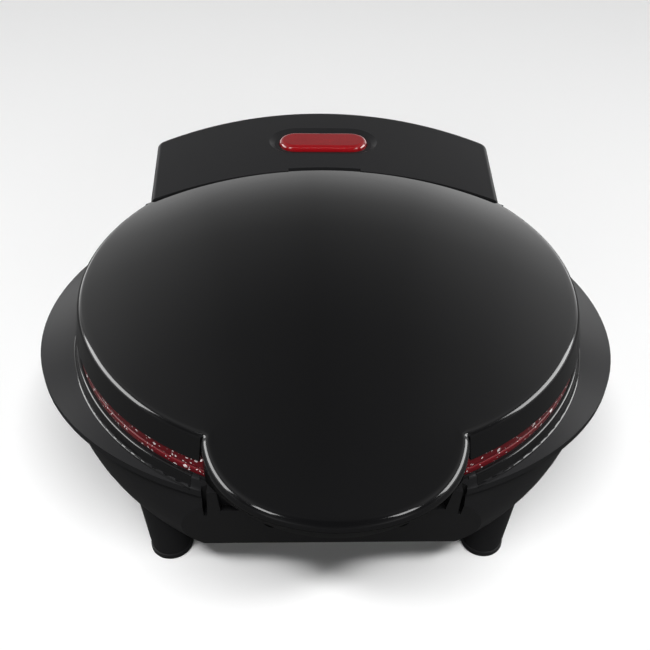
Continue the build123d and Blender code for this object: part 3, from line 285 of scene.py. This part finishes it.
# cold-rolled sheet: bright, with long rolling lines
rolledSteel = metal("rolledSheetSteel", "#c4c5c6", 0.28, 20, 0.4)
# zinc-plated steel: cooler and a little cloudy
zincSteel = metal("zincPlatedSteel", "#b9bbbd", 0.32, 2, 0.3)
# turned steel: the brightest, with the tool's lines around it
turnedSteel = metal("turnedSteel", "#bfc0c2", 0.24, 0.3, 4)

coating = {
    # flecks, large to small: cell in mm, fleck radius in cells, share of the cells that hold one
    "flecks": ((3.2, 0.22, 0.55), (1.6, 0.24, 0.45), (0.9, 0.26, 0.25)),
    "swell": 1.6,      # the largest flecks of a size are this much larger than its radius
    "bend": 1.6,       # how far, in mm, the flecks' outlines are bent
    "bendSize": 2.2,
    "cloudSize": 6,
    "grit": 0.8,       # the sprayed surface's grain in mm, coarser than the real one so that it shows
    "gritDepth": 0.03,
    "reds": ("#5a0b13", "#6e0f19"),
    "fleck": "#e6dcdc",
}


def speckledCoating():
    # sprayed fluoropolymer on cast aluminium: deep red with light flecks of uneven size and shape
    material, tree, shader, place = startMaterial("speckledNonStick", {"IOR": 1.38})
    wobble = addNode(tree, "ShaderNodeTexNoise", {"Scale": grain(coating["bendSize"]), "Detail": 3.0},
                     {"Vector": place})
    shift = addNode(tree, "ShaderNodeVectorMath", {1: [coating["bend"] * mm] * 3},
                    {0: wobble.outputs["Color"]}, operation="MULTIPLY")
    bent = addNode(tree, "ShaderNodeVectorMath", {}, {0: place, 1: shift.outputs["Vector"]}, operation="ADD")
    fleck = None
    for size, radius, share in coating["flecks"]:
        cells = addNode(tree, "ShaderNodeTexVoronoi", {"Scale": grain(size), "Randomness": 1.0},
                        {"Vector": bent.outputs["Vector"]})
        keep = addNode(tree, "ShaderNodeSeparateColor", {}, {"Color": cells.outputs["Color"]})
        largest = radius * coating["swell"]
        edge = addNode(tree, "ShaderNodeMapRange",
                       {"From Min": 0.0, "From Max": share, "To Min": largest, "To Max": 0.0},
                       {"Value": keep.outputs["Red"]})
        inside = addNode(tree, "ShaderNodeMath", {},
                         {0: cells.outputs["Distance"], 1: edge.outputs["Result"]}, operation="LESS_THAN")
        fleck = inside if fleck is None else addNode(
            tree, "ShaderNodeMath", {}, {0: fleck.outputs["Value"], 1: inside.outputs["Value"]},
            operation="MAXIMUM")
    cloud = addNode(tree, "ShaderNodeTexNoise", {"Scale": grain(coating["cloudSize"]), "Detail": 4.0},
                    {"Vector": place})
    base = addNode(tree, "ShaderNodeMix", {}, {"Factor": cloud.outputs["Fac"]}, data_type="RGBA")
    base.inputs["A"].default_value, base.inputs["B"].default_value = map(linear, coating["reds"])
    tint = addNode(tree, "ShaderNodeMix", {},
                   {"Factor": fleck.outputs["Value"], "A": base.outputs["Result"]}, data_type="RGBA")
    tint.inputs["B"].default_value = linear(coating["fleck"])
    tree.links.new(tint.outputs["Result"], shader.inputs["Base Color"])
    sheen = addNode(tree, "ShaderNodeMapRange", {"To Min": 0.28, "To Max": 0.42},
                    {"Value": cloud.outputs["Fac"]})
    tree.links.new(sheen.outputs["Result"], shader.inputs["Roughness"])
    grit = addNode(tree, "ShaderNodeTexNoise", {"Scale": grain(coating["grit"]), "Detail": 3.0},
                   {"Vector": place})
    bump = addNode(tree, "ShaderNodeBump", {"Strength": 0.4, "Distance": coating["gritDepth"] * mm},
                   {"Height": grit.outputs["Fac"]})
    tree.links.new(bump.outputs["Normal"], shader.inputs["Normal"])
    return material


def tintedLens():
    # polished red polycarbonate: a deep red body under a clear gloss
    material, tree, shader, place = startMaterial(
        "redPolycarbonate",
        {"IOR": 1.58, "Roughness": 0.09, "Transmission Weight": 0.25, "Coat Weight": 0.4})
    cloud = addNode(tree, "ShaderNodeTexNoise", {"Scale": grain(9), "Detail": 2.0}, {"Vector": place})
    tint = addNode(tree, "ShaderNodeMix", {}, {"Factor": cloud.outputs["Fac"]}, data_type="RGBA")
    tint.inputs["A"].default_value = linear("#8e0b13")
    tint.inputs["B"].default_value = linear("#a50f18")
    tree.links.new(tint.outputs["Result"], shader.inputs["Base Color"])
    return material


def lampGlass():
    # drawn glass tube, tinted by the gas in it: clear, faintly pink
    material, tree, shader, place = startMaterial(
        "sodaLimeGlass", {"IOR": 1.52, "Roughness": 0.04, "Transmission Weight": 0.9})
    cloud = addNode(tree, "ShaderNodeTexNoise", {"Scale": grain(5)}, {"Vector": place})
    tint = addNode(tree, "ShaderNodeMix", {}, {"Factor": cloud.outputs["Fac"]}, data_type="RGBA")
    tint.inputs["A"].default_value = linear("#f4ddd2")
    tint.inputs["B"].default_value = linear("#f0cdbf")
    tree.links.new(tint.outputs["Result"], shader.inputs["Base Color"])
    return material


nonStick = speckledCoating()
redLens = tintedLens()
clearGlass = lampGlass()

finishes = {
    "base_plastic": satinAbs,
    "gloss_cover": glossAbs,
    "frame_plastic": frameBlack,
    "plate_coating": nonStick,
    "pad_rubber": padRubber,
    "element_steel": temperedSteel,
    "sheet_steel": rolledSteel,
    "screw_steel": zincSteel,
    "pin_steel": turnedSteel,
    "bush_plastic": acetal,
    "terminal_plastic": naturalNylon,
    "stat_ceramic": steatite,
    "gland_plastic": glandNylon,
    "lens_plastic": redLens,
    "lamp_glass": clearGlass,
}
# the handle's lower shell takes the near-black finish, painted shade under the cover's lip, instead of its
# slot's finish
ownFinishes = {"handle_lower_shell": shellAbsPaintedShade}
sharpEdge = 32  # in degrees
for row in frame["record"]["subparts"]:
    mesh = nodes[row["node"]].data
    mesh.materials.clear()
    mesh.materials.append(ownFinishes.get(row["node"], finishes[row["material_slot"]]))
    mesh.shade_smooth()
    mesh.set_sharp_from_angle(angle=radians(sharpEdge))
print("materials given to the packed nodes")


def arc(centre, radius, start, end, steps):
    # points on a circle between two angles in degrees
    turns = [radians(start + (end - start) * i / steps) for i in range(steps + 1)]
    return [(centre[0] + radius * cos(t), centre[1] + radius * sin(t)) for t in turns]


def angleFrom(centre, point):
    return degrees(atan2(point[1] - centre[1], point[0] - centre[0]))


def blend(a, b, share):
    return a + (b - a) * share


def ease(value, low, high):
    # smooth step from 0 at low to 1 at high
    share = min(1, max(0, (value - low) / (high - low)))
    return share * share * (3 - 2 * share)


mergeWithin = 0.0005  # in mm
skinSharpEdge = 35  # in degrees


def skin(name, rows, material, body, replaced=()):
    # closed mesh from rows of points in mm about the plates' axis; each row closes on itself, the first and
    # the last one get a face, and a row of one repeated point becomes a pole
    mesh = bmesh.new()
    grid = [[mesh.verts.new((x * mm, (y + platesY) * mm, z * mm)) for x, y, z in row] for row in rows]
    mesh.faces.new(grid[0])
    mesh.faces.new(grid[-1])
    for above, below in zip(grid, grid[1:]):
        for i in range(len(above)):
            j = (i + 1) % len(above)
            mesh.faces.new((above[i], above[j], below[j], below[i]))
    bmesh.ops.remove_doubles(mesh, verts=mesh.verts, dist=mergeWithin * mm)
    bmesh.ops.dissolve_degenerate(mesh, edges=mesh.edges, dist=mergeWithin * mm)
    bmesh.ops.recalc_face_normals(mesh, faces=mesh.faces)
    data = bpy.data.meshes.new(name)
    mesh.to_mesh(data)
    mesh.free()
    piece = bpy.data.objects.new(name, data)
    bpy.context.scene.collection.objects.link(piece)
    data.materials.append(material)
    data.shade_smooth()
    data.set_sharp_from_angle(angle=radians(skinSharpEdge))
    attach(piece, body)
    if replaced:
        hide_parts(*replaced)


# the glossy cover: a dome with a rounded rim, drawn out into the handle and cut off along the rear seam;
# lengths in mm about the plates' axis, flowBlend in degrees from straight sideways towards the front
cover = {
    "rimR": 95.0, "rimZ": 96.0, "rise": 11.5, "skirtR": 97.3, "skirtZ": 86.6, "round": 3.1, "wall": 2.4,
    "seamR": 138.8, "seamY": 78.0, "seamRound": 0.35, "seamDrop": 2.4,
    "gripHalf": 41.8, "gripStraightY": -87.5, "gripFrontX": 19.5, "gripReach": 119.0, "gripFrontBack": 3.8,
    "gripEdgeZ": 94.7, "gripSeamZ": 91.3, "flowR": 86.0, "flowBlend": (58.0, 66.0), "seamFall": 0.01,
    # points along the outline, around the edge and over the dome
    "seamSteps": 44, "rimSteps": 130, "sideSteps": 26, "frontSteps": 18, "roundSteps": 10,
    "hubR": 70.0, "hubRings": 16, "flankRings": 14, "innerRings": (0.9, 0.75, 0.5, 0.25),
}
domeR = (cover["rimR"] ** 2 + cover["rise"] ** 2) / (2 * cover["rise"])
domeCentreZ = cover["rimZ"] + cover["rise"] - domeR


def domeZ(radius):
    return domeCentreZ + sqrt(domeR ** 2 - radius ** 2)


def flowArc():
    # circle in the radius-height plane that leaves the dome at flowR and ends at the handle's front edge
    start = (cover["flowR"], domeZ(cover["flowR"]))
    out = (start[0] / domeR, (start[1] - domeCentreZ) / domeR)  # outward normal of the dome there
    reach = (cover["gripReach"] - start[0], cover["gripEdgeZ"] - start[1])
    radius = (reach[0] ** 2 + reach[1] ** 2) / (2 * (out[0] * reach[0] + out[1] * reach[1]))
    return start[0] + out[0] * radius, start[1] + out[1] * radius, radius


flowX, flowZ, flowRadius = flowArc()


def coverTop(x, y):
    # height of the cover's top face
    radius = hypot(x, y)
    if radius <= cover["flowR"]:
        return domeZ(radius)
    level = flowZ - sqrt(flowRadius ** 2 - (radius - flowX) ** 2)
    inHandle = ease(-degrees(atan2(y, abs(x))), *cover["flowBlend"])
    return blend(domeZ(radius), level, inHandle)


def along(kind, centre, radius, start, end, steps):
    # an arc of the outline, as (kind, point, outward normal)
    return [(kind, point, ((point[0] - centre[0]) / radius, (point[1] - centre[1]) / radius))
            for point in arc(centre, radius, start, end, steps)]


def coverOutline():
    # right half of the outline from the rear to the front, as (kind, point, outward normal)
    seamCentre = (0, cover["seamY"] - cover["seamR"])
    gap = -seamCentre[1]
    cornerY = (cover["seamR"] ** 2 - cover["rimR"] ** 2 - gap ** 2) / (2 * gap)
    corner = (sqrt(cover["rimR"] ** 2 - cornerY ** 2), cornerY)
    rootY = -sqrt(cover["rimR"] ** 2 - cover["gripHalf"] ** 2)
    root = (cover["gripHalf"], rootY)
    frontY = cover["gripFrontBack"] - cover["gripReach"]
    a, b = (cover["gripFrontX"], frontY), (cover["gripHalf"], cover["gripStraightY"])
    frontR = (a[0] ** 2 + cover["gripFrontBack"] ** 2) / (2 * cover["gripFrontBack"])
    frontCentre = (0, frontR - cover["gripReach"])
    out = ((a[0] - frontCentre[0]) / frontR, (a[1] - frontCentre[1]) / frontR)
    span = (b[0] - a[0], b[1] - a[1])
    sideR = -(span[0] ** 2 + span[1] ** 2) / (2 * (out[0] * span[0] + out[1] * span[1]))
    sideCentre = (a[0] - out[0] * sideR, a[1] - out[1] * sideR)
    outline = along("seam", seamCentre, cover["seamR"], 90, angleFrom(seamCentre, corner),
                    cover["seamSteps"])
    outline += along("rim", (0, 0), cover["rimR"], angleFrom((0, 0), corner), angleFrom((0, 0), root),
                     cover["rimSteps"])
    outline += [("side", (root[0], blend(root[1], b[1], share)), (1, 0)) for share in (0, 0.5)]
    outline += along("side", sideCentre, sideR, angleFrom(sideCentre, b), angleFrom(sideCentre, a),
                     cover["sideSteps"])
    outline += along("side", frontCentre, frontR, angleFrom(frontCentre, a), -90, cover["frontSteps"])
    return outline


def filletProfile(kind, point, normal):
    # (inward distance, height) pairs down the edge of the cover, outside first and then up the inside
    wall, x, y = cover["wall"], *point
    top = coverTop(x, y)
    slope = top - coverTop(x - normal[0], y - normal[1])  # rise per mm outward
    if kind == "seam":
        corner, low, size = (0, top), (0, top - cover["seamDrop"]), cover["seamRound"]
        inside = [(wall, top - cover["seamDrop"] - cover["seamFall"])] * 2
    elif kind == "rim":
        corner, size = (0, top), cover["round"]
        low = (cover["rimR"] - cover["skirtR"], cover["skirtZ"])
        inside = [(low[0] + wall, cover["skirtZ"]), (wall, top - wall)]
    else:
        corner, low, size = (0, top), (0, cover["gripSeamZ"]), cover["round"]
        inside = [(wall, cover["gripSeamZ"]), (wall, top - wall)]
    inward = Vector((1, -slope)).normalized()
    down = Vector((low[0] - corner[0], low[1] - corner[1])).normalized()
    half = inward.angle(down) / 2
    centre = Vector(corner) + (inward + down).normalized() * size / sin(half)
    first = Vector(corner) + inward * size / tan(half)
    last = Vector(corner) + down * size / tan(half)
    startTurn, endTurn = first - centre, last - centre
    sweep = startTurn.angle(endTurn)
    side = 1 if startTurn.cross(endTurn) > 0 else -1
    profile = []
    for i in range(cover["roundSteps"] + 1):
        turn = Matrix.Rotation(side * sweep * i / cover["roundSteps"], 2)
        profile.append(tuple(centre + turn @ startTurn))
    return profile + [low] + inside


def makeCover():
    half = coverOutline()
    left = [(kind, (-x, y), (-nx, ny)) for kind, (x, y), (nx, ny) in reversed(half)]
    outline = half + left
    hubR, hubRings, flankRings = cover["hubR"], cover["hubRings"], cover["flankRings"]
    columns = []
    for kind, point, (nx, ny) in outline:
        edge = [(point[0] - nx * inset, point[1] - ny * inset, height)
                for inset, height in filletProfile(kind, point, (nx, ny))]
        x, y = edge[0][:2]
        reach = hypot(x, y)
        column = [(0, 0, domeZ(0))]
        for i in range(1, hubRings + 1):
            share = hubR * i / hubRings / reach
            column.append((x * share, y * share, coverTop(x * share, y * share)))
        for i in range(1, flankRings):
            share = blend(hubR / reach, 1, i / flankRings)
            column.append((x * share, y * share, coverTop(x * share, y * share)))
        column += edge
        x, y = edge[-1][:2]
        for share in cover["innerRings"]:
            column.append((x * share, y * share, coverTop(x * share, y * share) - cover["wall"]))
        column.append((0, 0, domeZ(0) - cover["wall"]))
        columns.append(column)
    skin("lid_cover", list(zip(*columns)), glossAbs, "lid", ["lid_top_cover"])


makeCover()
print("lid cover made")

# the polished face of the raised ring round the plate, from the land beside the plate down to its foot,
# where it dives under the brim; it leaves a gap under the handle
ring = {
    "corners": ((96.85, 78.85), (98.0, 78.85), (98.8, 74.8), (101.4, 73.63)),  # radius and height in mm
    "rounds": (1.0, 1.6),
    "over": 0.13, "under": 0.3,  # how far the skin stands over the housing, and reaches into it
    "dive": (0.15, -0.5),
    "gap": 28.0,  # degrees to each side of the front
    "steps": 10, "turns": 300,
    "footNear": 0.05, "footDepth": 1,  # where the housing's edges count as the end of the foot's fillet
}


def roundCorner(before, corner, after, size, steps):
    # points and outward normals of an arc that rounds a corner
    into, out = (Vector(corner) - Vector(before)).normalized(), (Vector(after) - Vector(corner)).normalized()
    turn = atan2(into.x * out.y - into.y * out.x, into.dot(out))
    side = 1 if turn > 0 else -1
    start = Vector(corner) - into * size * tan(abs(turn) / 2)
    centre = start + Vector((-into.y, into.x)) * size * side
    points = []
    for i in range(steps + 1):
        spoke = Matrix.Rotation(turn * i / steps, 2) @ (start - centre)  # from the arc's centre to its rim
        points.append((centre + spoke, spoke.normalized() * -side))
    return points


def makeRing():
    a, b, c, d = ring["corners"]
    profile = [(Vector(a), Vector((0, 1)))]
    profile += roundCorner(a, b, c, ring["rounds"][0], ring["steps"])
    profile += roundCorner(b, c, d, ring["rounds"][1], ring["steps"])
    profile.append((profile[-1][0] + Vector(ring["dive"]), profile[-1][1]))
    loop = [point + normal * ring["over"] for point, normal in profile]
    loop += [point - normal * ring["under"] for point, normal in reversed(profile)]
    rows = []
    for i in range(ring["turns"] + 1):
        turn = radians(ring["gap"] + (360 - 2 * ring["gap"]) * i / ring["turns"])
        rows.append([(r * sin(turn), -r * cos(turn), z) for r, z in loop])
    skin("base_ring_face", rows, glossAbs, "base")
    # the brim keeps its own normals where the foot's fillet ends
    footR, footZ = profile[-2][0]
    housing = nodes["base_housing"].data
    for edge in housing.edges:
        ends = [housing.vertices[i].co / mm for i in edge.vertices]
        near = [abs(hypot(x, y - platesY) - footR) < ring["footNear"] for x, y, z in ends]
        if all(near) and min(end.z for end in ends) > footZ - ring["footDepth"]:
            edge.use_edge_sharp = True


makeRing()
print("ring made")
